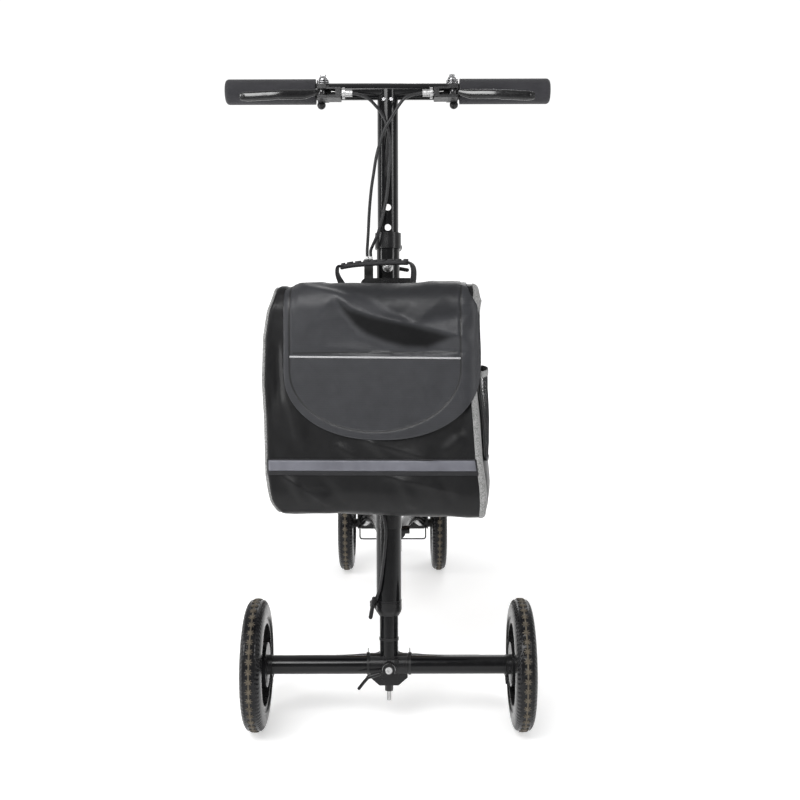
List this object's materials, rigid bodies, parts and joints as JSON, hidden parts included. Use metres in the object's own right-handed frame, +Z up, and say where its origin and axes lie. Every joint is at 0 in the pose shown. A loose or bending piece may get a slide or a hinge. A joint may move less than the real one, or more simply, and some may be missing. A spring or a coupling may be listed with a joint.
{
  "type": "knee walker",
  "caption": "Steerable knee walker on small wheels, with a raked folding column, handlebar with brake levers, padded knee rest and a flapped storage bag.",
  "frame": {"origin": "on the floor, midway between the front and rear axles and between the wheels of each pair", "axes": "+Z up; the walker faces -Y, so +Y points to its rear wheels; +X is to the right of someone who looks along +Y"},
  "size_m": [0.496, 0.8993, 0.9837],
  "materials": {
    "frame_paint": "glossy black powder coat",
    "dark_metal": "satin black",
    "bright_steel": "zinc plated",
    "chrome_parts": "polished",
    "black_plastic": "moulded",
    "gloss_black": "glossy",
    "tyre_rubber": "moulded polyurethane",
    "rim_plastic": "moulded nylon",
    "foam": "closed-cell foam",
    "post_steel": "bright tube",
    "bag_nylon": "woven nylon",
    "flap_nylon": "dark grey woven nylon",
    "board_wood": "plywood",
    "pad_cover": "black vinyl",
    "cable_jacket": "cable jacket"
  },
  "bodies": {
    "frame": {"head_tube": "frame_paint", "headset_cups": "dark_metal", "headset_bearings": "bright_steel", "frame_spine": "frame_paint", "rear_stays": "frame_paint", "rear_axle_tube": "frame_paint", "rear_axle_rod": "bright_steel", "axle_blocks": "black_plastic", "rear_bearings": "bright_steel", "post_collar": "dark_metal"},
    "rear_wheel_left": {"tyre_rear_left": "tyre_rubber", "rim_rear_left": "rim_plastic"},
    "rear_wheel_right": {"tyre_rear_right": "tyre_rubber", "rim_rear_right": "rim_plastic"},
    "knee_support": {"knee_post": "post_steel", "pad_plate": "dark_metal", "pad_board": "board_wood", "knee_pads": "pad_cover"},
    "post_clamp_lever": {"post_lever": "bright_steel"},
    "post_spring_pin": {"post_pin": "black_plastic"},
    "bail": {"rear_bail": "dark_metal"},
    "steering": {"steerer_tube": "frame_paint", "fold_pin": "bright_steel", "hub_bracket": "dark_metal", "front_axle_tube": "frame_paint", "front_spindles": "bright_steel", "front_bearings": "bright_steel", "brake_drums": "dark_metal", "kingpin_bolt": "dark_metal", "steer_collar": "dark_metal", "cone_bushing": "black_plastic", "hub_skewer": "bright_steel", "cable_ties": "black_plastic", "cable_splitter": "black_plastic", "lower_cables": "cable_jacket"},
    "collar_cam": {"collar_lever": "dark_metal"},
    "hub_cam": {"hub_lever": "dark_metal"},
    "front_wheel_left": {"tyre_front_left": "tyre_rubber", "rim_front_left": "rim_plastic"},
    "front_wheel_right": {"tyre_front_right": "tyre_rubber", "rim_front_right": "rim_plastic"},
    "column": {"outer_column": "frame_paint", "column_collar": "dark_metal", "hanger_plate": "dark_metal", "cable_joiner": "black_plastic", "bag_shell": "bag_nylon", "bag_handle": "bag_nylon"},
    "latch": {"fold_latch": "bright_steel"},
    "column_cam": {"column_lever": "gloss_black"},
    "spring_pin": {"height_pin": "chrome_parts"},
    "handlebar": {"inner_column": "frame_paint", "crossbar": "frame_paint", "grips": "foam", "lever_brackets": "black_plastic", "chrome_bolts": "chrome_parts", "cable_adjusters": "chrome_parts", "upper_cables": "cable_jacket"},
    "lever_left": {"brake_lever_left": "gloss_black"},
    "lever_right": {"brake_lever_right": "gloss_black"},
    "flap": {"bag_flap": "flap_nylon"}
  },
  "joints": [
    {"name": "rear_wheel_left_spin", "type": "hinge", "parent": "frame", "child": "rear_wheel_left", "pos_m": [-0.0975, 0.344, 0.1], "axis": [1, 0, 0], "continuous": true},
    {"name": "rear_wheel_right_spin", "type": "hinge", "parent": "frame", "child": "rear_wheel_right", "pos_m": [0.0975, 0.344, 0.1], "axis": [1, 0, 0], "continuous": true},
    {"name": "knee_pad_height", "type": "slide", "parent": "frame", "child": "knee_support", "axis": [0, 0, 1], "range_m": [0, 0.08]},
    {"name": "post_lever_open", "type": "hinge", "parent": "frame", "child": "post_clamp_lever", "pos_m": [0, 0.056, 0.311], "axis": [1, 0, 0], "range_deg": [0, 95]},
    {"name": "post_pin_pull", "type": "slide", "parent": "frame", "child": "post_spring_pin", "axis": [-1, 0, 0], "range_m": [0, 0.01], "stiffness_N_per_m": 800},
    {"name": "bail_swing", "type": "hinge", "parent": "frame", "child": "bail", "pos_m": [0, 0.334, 0.0975], "axis": [1, 0, 0], "range_deg": [-75, 5]},
    {"name": "steer", "type": "hinge", "parent": "frame", "child": "steering", "pos_m": [0, -0.31281, 0.24672], "axis": [0, 0.2079, 0.9781], "range_deg": [-45, 45]},
    {"name": "collar_lever_open", "type": "hinge", "parent": "steering", "child": "collar_cam", "pos_m": [0, -0.29975, 0.18312], "axis": [1, 0, 0], "range_deg": [0, 80]},
    {"name": "hub_lever_open", "type": "hinge", "parent": "steering", "child": "hub_cam", "pos_m": [0, -0.36966, 0.10239], "axis": [0, 0.9781, -0.2079], "range_deg": [0, 60]},
    {"name": "front_wheel_left_spin", "type": "hinge", "parent": "steering", "child": "front_wheel_left", "pos_m": [-0.202, -0.344, 0.1], "axis": [1, 0, 0], "continuous": true},
    {"name": "front_wheel_right_spin", "type": "hinge", "parent": "steering", "child": "front_wheel_right", "pos_m": [0.202, -0.344, 0.1], "axis": [1, 0, 0], "continuous": true},
    {"name": "column_fold", "type": "hinge", "parent": "steering", "child": "column", "pos_m": [0, -0.25045, 0.40542], "axis": [1, 0, 0], "range_deg": [-68, 0], "deforming": ["lower_cables"]},
    {"name": "latch_open", "type": "hinge", "parent": "column", "child": "latch", "pos_m": [0, -0.28147, 0.42306], "axis": [1, 0, 0], "range_deg": [0, 50]},
    {"name": "column_lever_open", "type": "hinge", "parent": "column", "child": "column_cam", "pos_m": [0, -0.18424, 0.72177], "axis": [1, 0, 0], "range_deg": [0, 110]},
    {"name": "height_pin_pull", "type": "slide", "parent": "column", "child": "spring_pin", "axis": [0, -0.9781, 0.2079], "range_m": [0, 0.008], "stiffness_N_per_m": 800},
    {"name": "handlebar_height", "type": "slide", "parent": "column", "child": "handlebar", "axis": [0, 0.2079, 0.9781], "range_m": [-0.0915, 0.0915], "deforming": ["upper_cables"]},
    {"name": "brake_lever_left_squeeze", "type": "hinge", "parent": "handlebar", "child": "lever_left", "pos_m": [-0.0985, -0.1971, 0.95463], "axis": [0, -0.2079, -0.9781], "range_deg": [0, 11], "stiffness_Nm_per_rad": 2},
    {"name": "brake_lever_right_squeeze", "type": "hinge", "parent": "handlebar", "child": "lever_right", "pos_m": [0.0985, -0.1971, 0.95463], "axis": [0, 0.2079, 0.9781], "range_deg": [0, 11], "stiffness_Nm_per_rad": 2},
    {"name": "flap_open", "type": "hinge", "parent": "column", "child": "flap", "pos_m": [-0.01053, -0.27585, 0.66978], "axis": [-0.9962, 0.0853, -0.0181], "range_deg": [0, 70]}
  ]
}
